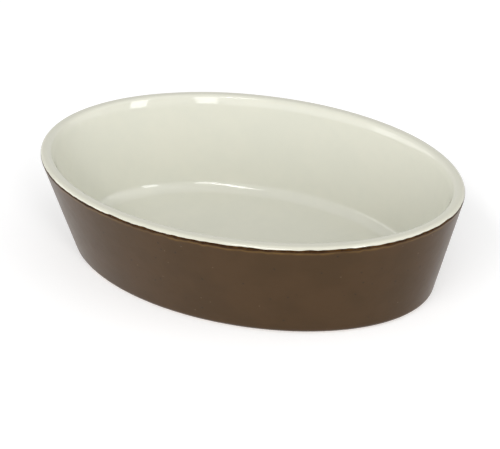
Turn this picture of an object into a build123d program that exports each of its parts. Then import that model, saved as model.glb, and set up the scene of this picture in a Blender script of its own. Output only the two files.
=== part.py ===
from build123d import *
import os
from math import cos, radians, sin, tan

# Oval gratin dish in glazed stoneware, in millimetres, +Z up, standing on its foot ring.
# The origin is the middle of the dish on the table, and the long axis of the oval is X.

# The whole dish, measured over the glaze
rim_length = 280.0
rim_width = 185.0
height = 72.0

# The wall flares outwards by the draft that lets it leave its mould
wall_thickness = 7.6
wall_draft = 13.6
floor_thickness = 5.5
floor_corner_radius = 9.0

# The rim is rounded on both sides, and inside, a low lip leans out further than the wall
rim_outer_radius = 2.4
rim_inner_radius = 3.0
lip_height = 4.5
lip_flare = 9.0
lip_bend_radius = 25.0

# The foot ring keeps the middle of the base off the table
base_corner_radius = 5.5
foot_height = 1.5
foot_ring_width = 5.0
foot_side_draft = 40.0
foot_edge_radius = 0.6

# The glaze coats, and where one gives way to the next
glaze_thickness = 0.5
bare_foot_height = 1.0
rim_line_top = 1.5
rim_line_width = 1.6

# Each quarter of the oval is three tangent arcs, the first two turning through these angles
end_arc_turn = 35.0
corner_arc_turn = 31.0

# The middle of the base is a flat plate, which starts this far inside the last rounded corner
plate_margin = 2.0

floor_level = foot_height + floor_thickness
line_top = height - rim_line_top
line_bottom = line_top - rim_line_width


def wall_x(depth, z):
    """Distance outwards from the widest line of the rim, of the wall's surface at height z.

    depth is measured square to the wall, inwards from the finished outer face.
    """
    draft = radians(wall_draft)
    above_rim_centre = z - (height - rim_outer_radius)
    reach = rim_outer_radius - depth + above_rim_centre * sin(draft)
    return reach / cos(draft) - rim_outer_radius


def corner_reach(radius):
    """Length of a level face that a rounded corner takes up, where the wall leans out over it."""
    return radius * tan(radians((90 - wall_draft) / 2))


def lip_x(skin, z):
    """Distance outwards from the widest line of the rim, of the lip's surface at height z.

    skin is measured square to the lip, into the clay from its finished inner face.
    """
    foot = height - lip_height
    slope = radians(wall_draft + lip_flare)
    return wall_x(wall_thickness, foot) + (z - foot) * tan(slope) + skin / cos(slope)


def lip_bend_z(skin):
    """Height at which the inner wall and the lip meet, with a skin of this thickness taken off."""
    draft = radians(wall_draft)
    slope = radians(wall_draft + lip_flare)
    rise = (1 / cos(draft) - 1 / cos(slope)) / (tan(slope) - tan(draft))
    return height - lip_height + skin * rise


def oval_radii():
    """Radii of the end, corner and side arcs of the rim's oval.

    The corner arc takes the radius that an ellipse of the same length and width has where its
    normal stands halfway through that arc. The other two then close the quarter exactly.
    """
    half_length = rim_length / 2
    half_width = rim_width / 2
    first = radians(end_arc_turn)
    second = radians(end_arc_turn + corner_arc_turn)
    middle = (first + second) / 2
    ellipse_term = (half_length * cos(middle)) ** 2 + (half_width * sin(middle)) ** 2
    corner = (half_length * half_width) ** 2 / ellipse_term**1.5
    along = half_length - corner * (cos(first) - cos(second))
    across = half_width - corner * (sin(second) - sin(first))
    divisor = (1 - cos(first)) * (1 - sin(second)) - cos(second) * sin(first)
    end = (along * (1 - sin(second)) - across * cos(second)) / divisor
    side = (across * (1 - cos(first)) - along * sin(first)) / divisor
    return end, corner, side


def oval_wire(inset=0.0):
    """Closed oval of twelve tangent arcs, at a constant distance inside the rim's widest line."""
    end, corner, side = oval_radii()
    turns = [end_arc_turn, corner_arc_turn, 90 - end_arc_turn - corner_arc_turn]
    quarter = list(zip(turns, [end, corner, side]))
    arcs = []
    angle = 0.0
    point = Vector(rim_length / 2, 0)
    for turn, radius in 2 * (quarter + quarter[::-1]):
        outward = Vector(1, 0).rotate(Axis.Z, angle)
        centre = point - outward * radius
        arcs.append(CenterArc(centre, radius - inset, angle, turn))
        angle += turn
        point = centre + Vector(1, 0).rotate(Axis.Z, angle) * radius
    return Wire(arcs)


def foot_inner_inset():
    """Distance from the rim's widest line in to the inner edge of the foot ring."""
    return -wall_x(0, 0) + corner_reach(base_corner_radius) + foot_ring_width


def plate_inset():
    """Distance from the rim's widest line in to the joint between the ring of wall and the plates."""
    floor_flat = -wall_x(wall_thickness, floor_level) + corner_reach(floor_corner_radius)
    foot_slope = foot_height * tan(radians(foot_side_draft))
    recess_flat = foot_inner_inset() + foot_slope + foot_edge_radius
    return max(floor_flat, recess_flat) + plate_margin


def section(skin):
    """Cross-section of the ring of wall, with a skin of this thickness taken off all but the foot."""
    foot_slope = tan(radians(foot_side_draft))
    foot_inner = -foot_inner_inset() + skin / cos(radians(foot_side_draft))
    recess = foot_height + skin
    top = height - skin
    bend = lip_bend_z(skin)
    floor = floor_level - skin
    inner = -plate_inset()
    corners = {
        (inner, recess): 0,
        (foot_inner - recess * foot_slope, recess): foot_edge_radius,
        (foot_inner, 0): foot_edge_radius,
        (wall_x(skin, 0), 0): base_corner_radius - skin,
        (wall_x(skin, top), top): rim_outer_radius - skin,
        (lip_x(skin, top), top): rim_inner_radius - skin,
        (wall_x(wall_thickness - skin, bend), bend): lip_bend_radius - skin,
        (wall_x(wall_thickness - skin, floor), floor): floor_corner_radius + skin,
        (inner, floor): 0,
    }
    outline = FilletPolyline(*corners.keys(), radius=list(corners.values()), close=True)
    return make_face(outline)


def zone(far_x, low_z, high_z):
    """Part of the cross-section from the middle of the wall out to far_x, between two heights."""
    middle = wall_thickness / 2
    low = (wall_x(middle, low_z), low_z)
    high = (wall_x(middle, high_z), high_z)
    return make_face(Polyline(low, high, (far_x, high_z), (far_x, low_z), close=True))


def ring(profile):
    """Carry a cross-section once round the oval."""
    placed = Plane.XZ * Pos(rim_length / 2, 0) * profile
    return sweep(placed, path=oval_wire())


def plate(low_z, high_z):
    """Flat oval plate that closes the middle of a ring."""
    return extrude(Pos(0, 0, low_z) * make_face(oval_wire(plate_inset())), high_z - low_z)


def clay_body():
    """The fired clay: wall, rim, floor and the bare foot ring it stands on."""
    middle = plate(foot_height + glaze_thickness, floor_level - glaze_thickness)
    return ring(section(glaze_thickness)) + middle


def coat(far_x, low_z, high_z):
    """Cross-section of the glaze on one side of the wall's middle, between two heights."""
    return (section(0) - section(glaze_thickness)) & zone(far_x, low_z, high_z)


def inner_glaze():
    """Ivory coat: the floor, the inside of the wall and over the rim to the dark line."""
    inside = coat(-plate_inset(), floor_level - floor_thickness / 2, height)
    over_rim = coat(wall_thickness, line_top, height)
    return ring(inside + over_rim) + plate(floor_level - glaze_thickness, floor_level)


def rim_line_glaze():
    """Dark line under the rim, where the ivory coat and the brown coat meet."""
    return ring(coat(wall_thickness, line_bottom, line_top))


def outer_glaze():
    """Brown coat on the outside, wiped off just above the table."""
    return ring(coat(wall_thickness, bare_foot_height, line_bottom))


def underside_glaze():
    """Brown coat in the recess inside the foot ring, wiped off the ring itself."""
    recess = coat(-plate_inset(), bare_foot_height, floor_level - floor_thickness / 2)
    return ring(recess) + plate(foot_height, foot_height + glaze_thickness)


os.makedirs("parts", exist_ok=True)
for piece in (clay_body, inner_glaze, rim_line_glaze, outer_glaze, underside_glaze):
    solid = piece()
    export_step(solid, f"parts/{piece.__name__}.step")
    print(f"{piece.__name__}: {len(solid.solids())} solid, {solid.volume / 1000:.1f} cm3")
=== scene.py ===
# %% [markdown]
# This scene dresses a deep oval gratin dish. The real one is a single piece of fired stoneware with
# four coats on it: ivory glaze inside and over the rim, a thin dark line where two glazes meet, satin
# brown glaze outside, and the same brown in the recess under the base. Only the foot ring is bare.
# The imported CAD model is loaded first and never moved, so each coat made here has a fixed place.

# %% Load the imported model
import math

import bpy
import numpy as np
from mathutils import Matrix, Vector


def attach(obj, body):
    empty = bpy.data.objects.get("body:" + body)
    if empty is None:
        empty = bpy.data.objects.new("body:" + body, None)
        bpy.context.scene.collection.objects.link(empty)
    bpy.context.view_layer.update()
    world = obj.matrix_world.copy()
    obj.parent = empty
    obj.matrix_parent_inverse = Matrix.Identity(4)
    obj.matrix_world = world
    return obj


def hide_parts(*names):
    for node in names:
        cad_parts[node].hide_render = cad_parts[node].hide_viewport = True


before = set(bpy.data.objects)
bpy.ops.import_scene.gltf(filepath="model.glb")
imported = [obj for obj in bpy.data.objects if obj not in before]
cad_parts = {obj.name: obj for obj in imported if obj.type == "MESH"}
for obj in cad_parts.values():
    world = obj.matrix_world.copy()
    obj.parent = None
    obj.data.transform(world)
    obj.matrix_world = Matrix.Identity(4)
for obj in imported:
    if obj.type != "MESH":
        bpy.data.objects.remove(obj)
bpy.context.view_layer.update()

mm = 0.001

# %% [markdown]
# The camera was fitted to the outline, the rim line and the floor edge of the dish in the photograph.
# It could be placed by eye and nudged, but a long lens from above flattens an oval so gently that a
# small error in height looks like a different dish. So its direction, its distance, a sideways step,
# a slight roll and its lens are kept as the numbers of that fit.

# %% Camera at the photograph's viewing angle
camera_azimuth = math.radians(26.06)
camera_elevation = math.radians(31.66)
camera_roll = math.radians(1.995)
camera_distance = 915.65 * mm
camera_step_right = 1.29 * mm
camera_step_up = 21.80 * mm
camera_sensor_width = 36
camera_lens = 100.8
camera_near = 50 * mm
camera_far = 50.0

toward_camera = Vector((
    math.sin(camera_azimuth) * math.cos(camera_elevation),
    -math.cos(camera_azimuth) * math.cos(camera_elevation),
    math.sin(camera_elevation),
))
level_right = Vector((math.cos(camera_azimuth), math.sin(camera_azimuth), 0))
level_up = toward_camera.cross(level_right)
camera_right = math.cos(camera_roll) * level_right - math.sin(camera_roll) * level_up
camera_up = math.sin(camera_roll) * level_right + math.cos(camera_roll) * level_up

camera = bpy.data.objects.new("camera", bpy.data.cameras.new("camera"))
bpy.context.scene.collection.objects.link(camera)
camera.data.sensor_width = camera_sensor_width
camera.data.lens = camera_lens
camera.data.clip_start = camera_near
camera.data.clip_end = camera_far
place = camera_distance * toward_camera + camera_step_right * level_right + camera_step_up * level_up
camera.matrix_world = Matrix.Translation(place) @ Matrix((
    camera_right, camera_up, toward_camera,
)).transposed().to_4x4()
bpy.context.scene.camera = camera
print("camera stands at", [round(value, 3) for value in place], "m")

# %% [markdown]
# The dish is pressed in a mould, so its wall leans outwards everywhere to let it out. Inside, the last
# few millimetres below the rim lean out further, as a low lip. The measures are the ones that the CAD
# model was made from. They could be read off its mesh, but a rounded corner is far easier to give as a
# radius than to find again among triangles.

# %% The dish's measures
rim_length = 280 * mm
rim_width = 185 * mm
height = 72 * mm
wall_thickness = 7.6 * mm
wall_draft = math.radians(13.6)
rim_outer_radius = 2.4 * mm
rim_inner_radius = 3 * mm
lip_height = 4.5 * mm
lip_flare = math.radians(9)
lip_bend_radius = 25 * mm
floor_thickness = 5.5 * mm
floor_corner_radius = 9 * mm
base_corner_radius = 5.5 * mm
foot_height = 1.5 * mm
foot_ring_width = 5 * mm
foot_side_draft = math.radians(40)
foot_edge_radius = 0.6 * mm
glaze_thickness = 0.5 * mm
plate_margin = 2 * mm
floor_level = foot_height + floor_thickness


def wall_x(depth, z):
    """Distance outwards from the rim's widest line, of the leaning wall's surface at height z.

    It is the outer face's line, which touches the rim's outer round, moved inwards by depth.
    """
    above_rim_centre = z - (height - rim_outer_radius)
    reach = rim_outer_radius - depth + above_rim_centre * math.sin(wall_draft)
    return reach / math.cos(wall_draft) - rim_outer_radius


def corner_reach(radius):
    """Length of a level face that a round of this radius takes up, where the wall leans over it."""
    return radius * math.tan((math.pi / 2 - wall_draft) / 2)


lip_z = height - lip_height
lip_x = wall_x(wall_thickness, lip_z)
lip_top_x = lip_x + lip_height * math.tan(wall_draft + lip_flare)
foot_inner = wall_x(0, 0) - corner_reach(base_corner_radius) - foot_ring_width
recess_x = foot_inner - foot_height * math.tan(foot_side_draft)
floor_flat = corner_reach(floor_corner_radius) - wall_x(wall_thickness, floor_level)
plate_inset = max(floor_flat, foot_edge_radius - recess_x) + plate_margin
print("rim's flat top:", round((wall_x(0, height) - lip_top_x) / mm, 2), "mm from corner to corner")

# %% [markdown]
# All the coats follow one cross-section of the dish: across the floor, up the inside, over the soft
# rim, down the outside, and round the foot into the recess. A lathe profile drawn by hand would do,
# but here each corner is a number, so the section is the same one that the CAD model has. It is kept
# as points with the distance travelled along it, because every glaze edge is a place on that way.

# %% The cross-section, as points with the way travelled along it
middle_x = -rim_width / 2
corners = np.array([
    (middle_x, floor_level),
    (wall_x(wall_thickness, floor_level), floor_level),
    (lip_x, lip_z),
    (lip_top_x, height),
    (wall_x(0, height), height),
    (wall_x(0, 0), 0),
    (foot_inner, 0),
    (recess_x, foot_height),
    (middle_x, foot_height),
])
corner_radii = [
    floor_corner_radius,
    lip_bend_radius,
    rim_inner_radius,
    rim_outer_radius,
    base_corner_radius,
    foot_edge_radius,
    foot_edge_radius,
]
arc_steps = 24


def rounded_section():
    """Points, outward normals and turn so far, along the corners with each one rounded.

    A round of radius r leaves each edge at r * tan(half the turn) from the corner. Its points stand
    at r from a centre to one side, and their normals turn from one edge's normal to the other's.
    """
    points = [corners[:1]]
    angles = []
    for before, corner, after, radius in zip(corners, corners[1:], corners[2:], corner_radii):
        start_angle = math.atan2(*(corner - before)[::-1])
        end_angle = math.atan2(*(after - corner)[::-1])
        turn = (end_angle - start_angle + math.pi) % (2 * math.pi) - math.pi
        way = np.array([math.cos(start_angle), math.sin(start_angle)])
        side = math.copysign(radius, turn) * np.array([-way[1], way[0]])
        start = corner - way * radius * math.tan(abs(turn) / 2)
        angle = start_angle + turn * np.linspace(0, 1, arc_steps)
        arc = np.stack([np.sin(angle), -np.cos(angle)], 1) * math.copysign(radius, turn)
        points.append(start + side + arc)
        angles.append(angle)
    points.append(corners[-1:])
    angles = np.unwrap(np.concatenate([[0], *angles, [math.pi]]))
    return np.concatenate(points), angles


section, section_angle = rounded_section()
steps = np.hypot(*np.diff(section, axis=0).T)
travel = np.concatenate([[0], np.cumsum(steps)])
turned = np.concatenate([[0], np.cumsum(np.abs(np.diff(section_angle)))])
print("section:", len(section), "points over", round(travel[-1] / mm, 1), "mm")

# %% [markdown]
# Fired glaze is never quite flat. It pools and thins by a tenth of a millimetre over a few
# centimetres, and that is what makes a lamp's reflection wander a little instead of running ruler
# straight. A displacement texture could do it, but a sum of slow sine waves in random directions is
# smooth everywhere, has no seam round the oval, and is the same for coats that meet.

# %% Slow unevenness of the glaze
chance = np.random.default_rng(7)
wave_count = 20
wave_lengths = chance.uniform(28, 80, wave_count) * mm
wave_ways = chance.normal(size=(wave_count, 3))
wave_ways *= (2 * math.pi / wave_lengths / np.linalg.norm(wave_ways, axis=1))[:, None]
wave_starts = chance.uniform(0, 2 * math.pi, wave_count)
unevenness = 0.1 * mm
squeeze = 3


def hollow(points):
    """How far the skin lies below full thickness: a mean of sine waves, squeezed between 0 and 1."""
    waves = np.sin(points @ wave_ways.T + wave_starts).mean(axis=-1)
    return unevenness * (0.5 + 0.5 * np.tanh(squeeze * waves))


# %% [markdown]
# The oval is an ellipse, and the section is carried round it square to the rim. Moving an ellipse
# inwards makes a parallel curve, which folds over itself near the middle, so the middle of the floor
# is made of smaller copies of one ring instead. They shrink to a single point.

# %% Carry the section round the oval
half_length = rim_length / 2
half_width = rim_width / 2
around = 512
theta = np.arange(around) * 2 * math.pi / around
oval = np.stack([half_length * np.cos(theta), half_width * np.sin(theta)], 1)
oval_normal = np.stack([half_width * np.cos(theta), half_length * np.sin(theta)], 1)
oval_normal /= np.linalg.norm(oval_normal, axis=1)[:, None]
along_rim = np.cumsum(np.linalg.norm(oval - np.roll(oval, 1, axis=0), axis=1))
print("length round the rim:", round(along_rim[-1] / mm), "mm")


def on_dish(ways, depth):
    """Points of the dish for a grid of ways along the section, sunk by depth below its surface.

    A point is the oval's point, less the section's distance inwards along the oval's normal, at the
    section's height. Past the plate's edge, the ring there shrinks evenly to the middle instead.
    """
    angle = np.interp(ways, travel, section_angle)
    x = np.interp(ways, travel, section[:, 0]) + depth * np.sin(angle)
    z = np.interp(ways, travel, section[:, 1]) - depth * np.cos(angle)
    inset = np.minimum(-x, plate_inset)[..., None]
    shrink = np.clip((x - middle_x) / (half_width - plate_inset), 0, 1)[..., None]
    return np.concatenate([shrink * (oval - inset * oval_normal), z[..., None]], axis=-1)


# %% [markdown]
# The rows of the grid crowd together where the section bends and spread where it runs straight. So
# the rounds are smooth, and the flat parts still have enough points for the glaze's slow waves.

# %% Rows of the grid
straight_row = 4 * mm
bend_row = math.radians(4.5)
edge_fade = 1.6 * mm


def rows_between(low, high):
    """Ways of the rows from low to high, spaced evenly in distance and turn added together."""
    crowding = travel / straight_row + turned / bend_row
    first, last = np.interp([low, high], travel, crowding)
    return np.interp(np.linspace(first, last, math.ceil(last - first) + 2), crowding, travel)


def follow_edges(rows, first_edge, last_edge):
    """Grid of ways whose first and last rows move to uneven edges, and the rows near them in part."""
    near_first = np.clip(1 - (rows - rows[0]) / edge_fade, 0, 1)[:, None]
    near_last = np.clip(1 - (rows[-1] - rows) / edge_fade, 0, 1)[:, None]
    moved = near_first * (first_edge - rows[0]) + near_last * (last_edge - rows[-1])
    return rows[:, None] + moved + 0 * theta


# %% [markdown]
# A mesh is a list of points and a list of faces that name their points by number. Here the points lie
# in rows that go once round the oval, so the faces come from whole arrays of numbers: four-sided ones
# between two rows, and a fan of triangles where a row is a single point.

# %% Faces of rows that go round the oval
def faces_between(rows):
    """Each face takes a number and the next one round, from one row and from the row after it."""
    beside = np.roll(rows, -1, axis=1)
    return np.stack([rows[:-1], rows[1:], beside[1:], beside[:-1]], axis=-1).reshape(-1, 4).tolist()


def fan(tip, row):
    """Each triangle takes the tip's number, a number of the row, and the next one round."""
    return np.stack([np.full(len(row), tip), row, np.roll(row, -1)], axis=-1).tolist()


# %% [markdown]
# Every coat becomes an object of its own, at the origin, with its place in its mesh. Its points also
# carry their distance past the dark line, which the finishes use later.

# %% Make an object of a mesh
sharp_edge = math.radians(50)


def new_piece(name, points, faces, past_line):
    """An object of these points and faces, smooth except at edges that turn more than sharp_edge."""
    mesh = bpy.data.meshes.new(name)
    mesh.from_pydata(points, [], faces)
    mesh.shade_smooth()
    mesh.set_sharp_from_angle(angle=sharp_edge)
    attribute = mesh.attributes.new("past_line", "FLOAT", "POINT")
    attribute.data.foreach_set("value", past_line.astype(np.float32))
    piece = bpy.data.objects.new(name, mesh)
    bpy.context.scene.collection.objects.link(piece)
    triangles = len(mesh.loops) - 2 * len(mesh.polygons)
    print(f"{name}: {len(mesh.vertices)} vertices, {triangles} triangles")
    return piece


# %% [markdown]
# A coat is a closed shell: its skin, and the same skin sunk by the glaze's thickness, which lies on
# the clay. Solidify could thicken a plain skin, but it moves each point along an averaged normal, and
# here the sunk side is known exactly. A ring of wall closes on itself. A coat with a floor has two
# middles, which become single points.

# %% Make a closed shell of a coat
def coat(name, ways, past_line, middle=None):
    """Closed shell: the skin's rows, then the sunk rows back. middle says which skin row is a point."""
    skin = on_dish(ways, hollow(on_dish(ways, 0)))
    sunk = on_dish(ways, glaze_thickness)[::-1]
    rows = np.concatenate([skin, sunk])
    marks = np.concatenate([past_line, past_line[::-1]])
    if middle is None:
        numbers = np.arange(marks.size).reshape(marks.shape)
        faces = faces_between(np.concatenate([numbers, numbers[:1]]))
        return new_piece(name, rows.reshape(-1, 3), faces, marks.reshape(-1))
    if middle == "last":
        rows = np.roll(rows, len(sunk), axis=0)
        marks = np.roll(marks, len(sunk), axis=0)
    points = np.concatenate([rows[1:-1].reshape(-1, 3), rows[[0, -1], 0]])
    marks_of_points = np.concatenate([marks[1:-1].reshape(-1), marks[[0, -1], 0]])
    numbers = np.arange(len(points) - 2).reshape(-1, around)
    first_tip = numbers.size
    faces = fan(first_tip, numbers[0]) + faces_between(numbers) + fan(first_tip + 1, numbers[-1][::-1])
    return new_piece(name, points, faces, marks_of_points)


# %% [markdown]
# The dark line under the rim is where the ivory coat laps over the brown one. Hands dipped the dish,
# so both edges of the line waver by a few tenths of a millimetre. The two edges are worked out once,
# and the three coats that meet there share them, so no clay shows between them.

# %% Where one glaze gives way to the next
rim_line_top = 1.5 * mm
rim_line_width = 1.6 * mm
bare_foot_height = 1 * mm
line_top = height - rim_line_top
line_bottom = line_top - rim_line_width
hardly_any = 0.001 * mm


def way_to(z, after, before):
    """Way travelled to height z, on a stretch of the section that only rises or only falls."""
    stretch = (travel >= after) & (travel <= before)
    order = np.argsort(section[stretch, 1])
    return float(np.interp(z, section[stretch, 1][order], travel[stretch][order]))


def waver(shortest, longest, size):
    """Uneven edge round the rim: sine waves that close on themselves, weaker the shorter they are."""
    girth = along_rim[-1]
    waves = np.arange(round(girth / longest), round(girth / shortest))
    sizes = chance.normal(size=len(waves)) / np.sqrt(waves)
    starts = chance.uniform(0, 2 * math.pi, len(waves))
    turns = np.outer(along_rim / girth, 2 * math.pi * waves)
    edge = (sizes * np.sin(turns + starts)).sum(axis=1)
    return size * edge / edge.std()


rim_way = travel[section[:, 1].argmax()]
foot_ways = travel[section[:, 1] <= hardly_any]
top_edge = way_to(line_top, rim_way, foot_ways[0])
top_edge += waver(shortest=5 * mm, longest=90 * mm, size=0.12 * mm)
bottom_edge = way_to(line_bottom, rim_way, foot_ways[0])
bottom_edge += waver(shortest=5 * mm, longest=60 * mm, size=0.2 * mm)
outer_foot_edge = way_to(bare_foot_height, rim_way, foot_ways[0])
outer_foot_edge += waver(shortest=8 * mm, longest=120 * mm, size=0.1 * mm)
inner_foot_edge = way_to(bare_foot_height, foot_ways[-1], travel[-1]) + 0 * theta
line_widths = (bottom_edge - top_edge) / mm
print(f"dark line: from {line_widths.min():.2f} to {line_widths.max():.2f} mm wide")

# %% [markdown]
# Each of the four coats takes its stretch of the section. The rows of one coat are spread between its
# edges' mean places, and then the rows near an edge move to where the edge really runs.

# %% Make the four coats
line_row_count = 9

inner_rows = rows_between(0, top_edge.mean())
inner_ways = follow_edges(inner_rows, inner_rows[0], top_edge)
inner_glaze = coat("ivory_inside", inner_ways, inner_ways - top_edge, middle="first")

line_rows = np.linspace(top_edge.mean(), bottom_edge.mean(), line_row_count)
line_ways = follow_edges(line_rows, top_edge, bottom_edge)
rim_line = coat("dark_rim_line", line_ways, line_ways - top_edge)

outer_rows = rows_between(bottom_edge.mean(), outer_foot_edge.mean())
outer_ways = follow_edges(outer_rows, bottom_edge, outer_foot_edge)
outer_glaze = coat("brown_outside", outer_ways, outer_ways - bottom_edge)

under_rows = rows_between(inner_foot_edge.mean(), travel[-1])
under_ways = follow_edges(under_rows, inner_foot_edge, under_rows[-1])
under_glaze = coat("brown_underside", under_ways, under_ways - bottom_edge, middle="last")

# %% [markdown]
# A coat of glaze never moves by itself, so all four ride on the dish's one body. Each row also names
# the CAD model's solid that the coat stands for, which is hidden, and its finish's entry in the parts
# list.

# %% Tie the coats to the model
for piece, node, slot in (
    (inner_glaze, "inner_glaze", "ivory_glaze"),
    (rim_line, "rim_line_glaze", "dark_glaze"),
    (outer_glaze, "outer_glaze", "brown_glaze"),
    (under_glaze, "underside_glaze", "brown_glaze"),
):
    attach(piece, "root")
    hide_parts(node)

# %% [markdown]
# A finish is a small tree of shader nodes. Written as nodes and links one by one it takes a page and
# hides what it means, so a socket is wrapped in a class that knows plus, minus and times. Then the
# finish reads as a formula, and each operator adds one Math node.

# %% Shader formulas
class Field:
    """A shader socket whose value changes over a surface, for use in a formula."""

    def __init__(self, tree, socket):
        self.tree = tree
        self.socket = socket

    def maths(self, operation, first, second):
        """The result of one Math node, whose two sockets take fields or plain numbers."""
        return self.tree.node("ShaderNodeMath", {"operation": operation}, {0: first, 1: second})

    def __add__(self, other):
        return self.maths("ADD", self, other)

    def __sub__(self, other):
        return self.maths("SUBTRACT", self, other)

    def __mul__(self, other):
        return self.maths("MULTIPLY", self, other)

    def __rsub__(self, other):
        return self.maths("SUBTRACT", other, self)

    __radd__ = __add__
    __rmul__ = __mul__


def opaque(colour):
    """A colour with the full alpha that a socket wants. A field stays as it is."""
    return colour if isinstance(colour, Field) else (*colour, 1.0)


# %% [markdown]
# Every other node is made by one method, which takes the node's type, its settings and what its
# sockets get. Materials and the world both keep their nodes in a tree, so they share it.

# %% One way to make any node
class Tree:
    """The nodes of a material or of the world."""

    def __init__(self, owner):
        owner.use_nodes = True
        self.owner = owner
        self.nodes = owner.node_tree.nodes
        self.links = owner.node_tree.links
        self.nodes.clear()

    def node(self, kind, settings=None, inputs=None, output=0):
        """Add a node: its settings first, then the value or link of each socket."""
        node = self.nodes.new(kind)
        for name, value in (settings or {}).items():
            setattr(node, name, value)
        for name, value in (inputs or {}).items():
            if isinstance(value, Field):
                self.links.new(value.socket, node.inputs[name])
            else:
                node.inputs[name].default_value = value
        return None if output is None else Field(self, node.outputs[output])

    def seen(self):
        """1 where a ray comes from the camera, a gloss or a clear surface, 0 for scattered light."""
        kinds = ("Is Camera Ray", "Is Glossy Ray", "Is Transmission Ray")
        camera_ray, glossy_ray, clear_ray = (
            self.node("ShaderNodeLightPath", output=kind) for kind in kinds
        )
        return camera_ray + glossy_ray + clear_ray


# %% [markdown]
# The same few kinds of node come back in every finish: noise for clouds, cells for specks, a smooth
# step to make a mask, a blend of two colours, and a bump. Each gets one short method, with sizes in
# metres, so that a pattern's scale can be held against the real thing.

# %% The patterns of a finish
class Finish(Tree):
    """A new material and the few patterns that the finishes of this dish are made of."""

    def __init__(self, name):
        super().__init__(bpy.data.materials.new(name))

    def place(self):
        """Where a point lies, in metres from the object's origin."""
        return self.node("ShaderNodeTexCoord", output="Object")

    def past_line(self):
        """Distance past the dark line's edge, as the coat's own attribute gives it, in metres."""
        return self.node("ShaderNodeAttribute", {"attribute_name": "past_line"}, output="Fac")

    def noise(self, size, detail=2.0):
        """Cloudy pattern between 0 and 1 whose patches are about as wide as size."""
        inputs = {"Vector": self.place(), "Scale": 1 / size, "Detail": detail}
        return self.node("ShaderNodeTexNoise", None, inputs)

    def spots(self, spacing, radius, share):
        """Round spots, 1 in the middle and 0 outside, in this share of cells of this spacing."""
        cells = {"feature": "F1"}
        inputs = {"Vector": self.place(), "Scale": 1 / spacing}
        away = self.node("ShaderNodeTexVoronoi", cells, inputs, output="Distance")
        lot = self.node("ShaderNodeTexVoronoi", cells, inputs, output="Color")
        drawn = self.node("ShaderNodeSeparateColor", None, {"Color": lot})
        core = 0.4 * radius
        fade = 0.05
        spot = self.step(away, radius / spacing, core / spacing)
        return spot * self.step(drawn, share, share - fade)

    def step(self, field, low, high):
        """0 where the field is at low, 1 where it is at high, and smooth between."""
        settings = {"interpolation_type": "SMOOTHSTEP"}
        inputs = {0: field, 1: low, 2: high, 3: 0.0, 4: 1.0}
        return self.node("ShaderNodeMapRange", settings, inputs)

    def blend(self, factor, first, second):
        """First colour where the factor is 0, second where it is 1."""
        settings = {"data_type": "RGBA"}
        inputs = {0: factor, 6: opaque(first), 7: opaque(second)}
        return self.node("ShaderNodeMix", settings, inputs, output=2)

    def bump(self, relief, depth, below=None):
        """Normals of a relief whose height of 1 stands for this depth, laid over those below."""
        inputs = {"Height": relief, "Distance": depth}
        if below is not None:
            inputs["Normal"] = below
        return self.node("ShaderNodeBump", None, inputs)

    def cover(self, sockets):
        """The surface itself: one Principled shader with these sockets, as the material's output."""
        shader = self.node("ShaderNodeBsdfPrincipled", None, sockets)
        self.node("ShaderNodeOutputMaterial", None, {"Surface": shader}, output=None)
        print(self.owner.name, "has", len(self.nodes), "nodes")


# %% [markdown]
# Ivory glaze is a milky glass. Its colour drifts a little from cream to grey-green where it lies
# thicker. Over the rim it runs thin, and the warm clay tints it. That darker, warmer band is also
# painted shade, which dims the rim and lip where they face up to the light. Its skin has the slow
# dimples of orange peel, which only its reflections show. One even colour with a clear coat would
# look like plastic, so the colour, gloss and skin each get a pattern.

# %% Ivory glaze
glass_index = 1.5
ivory_cream = (0.70, 0.695, 0.605)
ivory_grey = (0.68, 0.68, 0.595)
# Darker, warmer ivory towards the dark line: thin glaze over the rim, and also painted shade that dims
# the upward-facing rim and lip.
ivory_thin_and_shaded = (0.62, 0.61, 0.51)
thin_shade_start = -11 * mm
thin_shade_full = -1.5 * mm

ivory = Finish("ivory_glaze")
cloud = ivory.noise(size=45 * mm, detail=3)
mottle = ivory.noise(size=6 * mm, detail=3)
thicker = ivory.step(0.7 * cloud + 0.3 * mottle, low=0.35, high=0.65)
ivory_colour = ivory.blend(thicker, ivory_cream, ivory_grey)
# Mask of the thin glaze and the painted shade on the rim and lip, by distance before the dark line.
rim_thin_and_shaded = ivory.step(ivory.past_line(), thin_shade_start, thin_shade_full)
peel = ivory.bump(ivory.noise(size=9 * mm, detail=1), depth=0.05 * mm)
ivory.cover({
    "Base Color": ivory.blend(rim_thin_and_shaded, ivory_colour, ivory_thin_and_shaded),
    "Roughness": 0.03 + 0.05 * ivory.noise(size=20 * mm),
    "IOR": glass_index,
    "Normal": ivory.bump(ivory.noise(size=1.6 * mm), depth=0.004 * mm, below=peel),
})

# %% [markdown]
# Brown glaze is satin: tiny crystals under its skin blur and weaken the reflections. Iron gives it
# darker and paler specks, and just below the dark line, where it lies thin over the edge, it breaks
# to amber, after a hair's breadth that the line itself stains. A texture painted round the rim could
# do that, but each point of the coat knows how far past the line it is, so both bands follow the
# line's every waver.

# %% Brown glaze
brown_base = (0.063, 0.032, 0.010)
brown_dark = (0.055, 0.028, 0.008)
brown_fleck = (0.030, 0.018, 0.008)
brown_pale = (0.15, 0.10, 0.06)
amber = (0.145, 0.079, 0.018)
line_stain = (0.050, 0.022, 0.005)
stain_start = 1.0 * mm
stain_full = 0.3 * mm
amber_start = 3.8 * mm
amber_full = 1.0 * mm
amber_sway = 2.0 * mm

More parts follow.
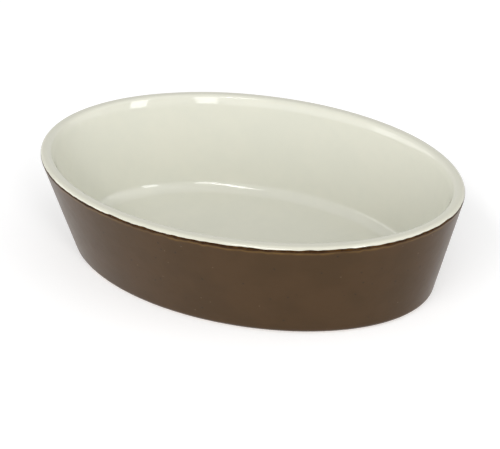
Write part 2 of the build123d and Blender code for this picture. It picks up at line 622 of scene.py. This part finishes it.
brown = Finish("brown_glaze")
drift = brown.step(brown.noise(size=25 * mm, detail=3), low=0.35, high=0.65)
flecks = 0.9 * brown.spots(spacing=5 * mm, radius=0.9 * mm, share=0.3)
pale_specks = 0.6 * brown.spots(spacing=6 * mm, radius=0.6 * mm, share=0.25)
swayed = brown.past_line() + amber_sway * brown.noise(size=5 * mm)
thin_stretches = brown.step(brown.noise(size=40 * mm, detail=1), low=0.3, high=0.55)
breaking = brown.step(swayed, amber_start, amber_full) * thin_stretches
stained = brown.step(brown.past_line(), stain_start, stain_full)
brown_colour = brown.blend(drift, brown_base, brown_dark)
brown_colour = brown.blend(flecks, brown_colour, brown_fleck)
brown_colour = brown.blend(pale_specks, brown_colour, brown_pale)
brown_colour = brown.blend(breaking, brown_colour, amber)
brown_colour = brown.blend(stained, brown_colour, line_stain)
grain = brown.bump(brown.noise(size=0.7 * mm), depth=0.012 * mm)
brown.cover({
    "Base Color": brown_colour,
    "Roughness": 0.26 + 0.1 * brown.noise(size=8 * mm, detail=3),
    "IOR": glass_index,
    "Specular IOR Level": 0.17,
    "Normal": brown.bump(brown.noise(size=6 * mm), depth=0.06 * mm, below=grain),
})

# %% [markdown]
# Where the ivory coat laps over the brown one, the two melt into a third glass, nearly black with a
# red-brown cast. It soaks up light, so it has hardly any shine of its own. A mask on the ivory coat
# could draw it, but as a coat of its own it has its own edges, and its place in the parts list.

# %% Dark line
line_black = (0.030, 0.012, 0.003)
line_red = (0.062, 0.028, 0.006)

dark = Finish("dark_line_glaze")
thinned = dark.step(dark.noise(size=3 * mm, detail=3), low=0.4, high=0.65)
dark.cover({
    "Base Color": dark.blend(thinned, line_black, line_red),
    "Roughness": 0.35 + 0.1 * dark.noise(size=4 * mm),
    "IOR": glass_index,
    "Specular IOR Level": 0.06,
    "Normal": dark.bump(dark.noise(size=2 * mm), depth=0.02 * mm),
})

# %% [markdown]
# The foot ring is wiped clean before firing, or the dish would stick to the kiln shelf. What shows
# there is bare stoneware: warm, matt and slightly sandy. The clay body is the CAD model's own mesh,
# which needs no new shape, only this finish.

# %% Bare clay
clay_light = (0.62, 0.47, 0.35)
clay_dark = (0.50, 0.36, 0.26)

clay = Finish("bare_clay")
sand = clay.step(clay.noise(size=0.9 * mm, detail=3), low=0.3, high=0.7)
clay.cover({
    "Base Color": clay.blend(sand, clay_light, clay_dark),
    "Roughness": 0.85 + 0.1 * clay.noise(size=2 * mm),
    "Normal": clay.bump(clay.noise(size=0.5 * mm, detail=3), depth=0.06 * mm),
})

# %% [markdown]
# A material shows only once it is in an object's slots. The two brown coats share one material,
# because they are one glaze from one bucket.

# %% Put each finish on its piece
for piece, finish in (
    (inner_glaze, ivory),
    (rim_line, dark),
    (outer_glaze, brown),
    (under_glaze, brown),
    (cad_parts["clay_body"], clay),
):
    piece.data.materials.clear()
    piece.data.materials.append(finish.owner)
    print(piece.name, "wears", finish.owner.name)

# %% [markdown]
# The dish stands on white paper that runs on out of sight. Brighter lamps would turn grey paper
# white, but would burn out the ivory too. So the paper gets a faint glow of its own that only the
# camera and reflections see, and the dish's shadow stays.

# %% White floor
floor_reach = 6.0
floor_drop = 0.05 * mm
floor_grey = 0.82
floor_glow = 0.35

square = np.array([(-1, -1, 0), (1, -1, 0), (1, 1, 0), (-1, 1, 0)])
floor_mesh = bpy.data.meshes.new("floor")
floor_mesh.from_pydata(floor_reach * square - (0, 0, floor_drop), [], [(0, 1, 2, 3)])
floor = bpy.data.objects.new("floor", floor_mesh)
bpy.context.scene.collection.objects.link(floor)

paper = Finish("white_paper")
paper.cover({
    "Base Color": opaque([floor_grey] * 3),
    "Roughness": 0.9,
    "Specular IOR Level": 0.0,
    "Emission Color": paper.seen(),
    "Emission Strength": floor_glow,
})
floor.data.materials.append(paper.owner)

# %% [markdown]
# Glossy glaze shows the lamps themselves, so their places can be read from the photograph: a bright
# spot on the lip or on the floor's rounded corner is a mirror, and its slope says where the light
# comes from. Placing lamps by hand in metres would do, but giving each one as a direction and an
# angular size keeps the spots where they are if the distance changes.

# %% One way to make any lamp
lamp_distance = 4.0


def lamp(name, azimuth, elevation, tilt, width, length, glow):
    """A rectangle of light that faces the dish, of this brightness, where 1 is white.

    All the angles are in degrees. Width and length are the angles that the dish sees. The length
    stands upright where the tilt is 0, and its upper end leans to the left where it is more.
    """
    data = bpy.data.lights.new(name, "AREA")
    data.shape = "RECTANGLE"
    data.size = 2 * lamp_distance * math.tan(math.radians(width / 2))
    data.size_y = 2 * lamp_distance * math.tan(math.radians(length / 2))
    data.energy = glow * data.size * data.size_y * math.pi
    turn, rise, lean = (math.radians(angle) for angle in (azimuth, elevation, tilt))
    level = math.cos(rise)
    way = Vector((level * math.sin(turn), -level * math.cos(turn), math.sin(rise)))
    side = Vector((math.cos(turn), math.sin(turn), 0))
    up = way.cross(side)
    across = math.cos(lean) * side + math.sin(lean) * up
    along = math.cos(lean) * up - math.sin(lean) * side
    stand = bpy.data.objects.new(name, data)
    bpy.context.scene.collection.objects.link(stand)
    facing = Matrix((across, along, way)).transposed().to_4x4()
    stand.matrix_world = Matrix.Translation(lamp_distance * way) @ facing
    print(f"{name}: {data.size:.2f} by {data.size_y:.2f} m, {data.energy:.0f} W")


# %% [markdown]
# One big soft light would leave no spots at all. So two tall windows stand near the camera, and a strip
# hangs across overhead. All the other lamps are weak, and most of them wide, so they fill in without
# leaving a spot of their own.

# %% Lamps
lamp("left_window", azimuth=11.5, elevation=23, tilt=0, width=8.5, length=34, glow=5.5)
lamp("right_window", azimuth=48, elevation=23, tilt=3, width=11, length=34, glow=6.5)
lamp("overhead_strip", azimuth=-4, elevation=46, tilt=40, width=7, length=26, glow=11)
lamp("far_right", azimuth=98, elevation=33, tilt=0, width=6, length=26, glow=1.5)
lamp("far_left", azimuth=-70, elevation=11, tilt=0, width=40, length=30, glow=2.1)
lamp("right_panel", azimuth=66, elevation=56, tilt=0, width=44, length=44, glow=0.75)
lamp("low_panel", azimuth=104, elevation=26, tilt=0, width=50, length=40, glow=0.8)
lamp("front_panel", azimuth=-28, elevation=14, tilt=90, width=30, length=66, glow=0.9)

# %% [markdown]
# The rest of the light is the white room itself. An even world is the simplest stand-in for it. It
# lights the dish at two fifths of white, but the camera and reflections see it as plain white.

# %% White room
room_light = 0.4
world = bpy.data.worlds.new("white_room")
bpy.context.scene.world = world
room = Tree(world)
room_colour = 1 - (1 - room_light) * (1 - room.seen())
room_glow = room.node("ShaderNodeBackground", None, {"Color": room_colour, "Strength": 1.0})
room.node("ShaderNodeOutputWorld", None, {"Surface": room_glow}, output=None)
bpy.context.scene.view_settings.view_transform = "Standard"
print("white room has", len(room.nodes), "nodes")
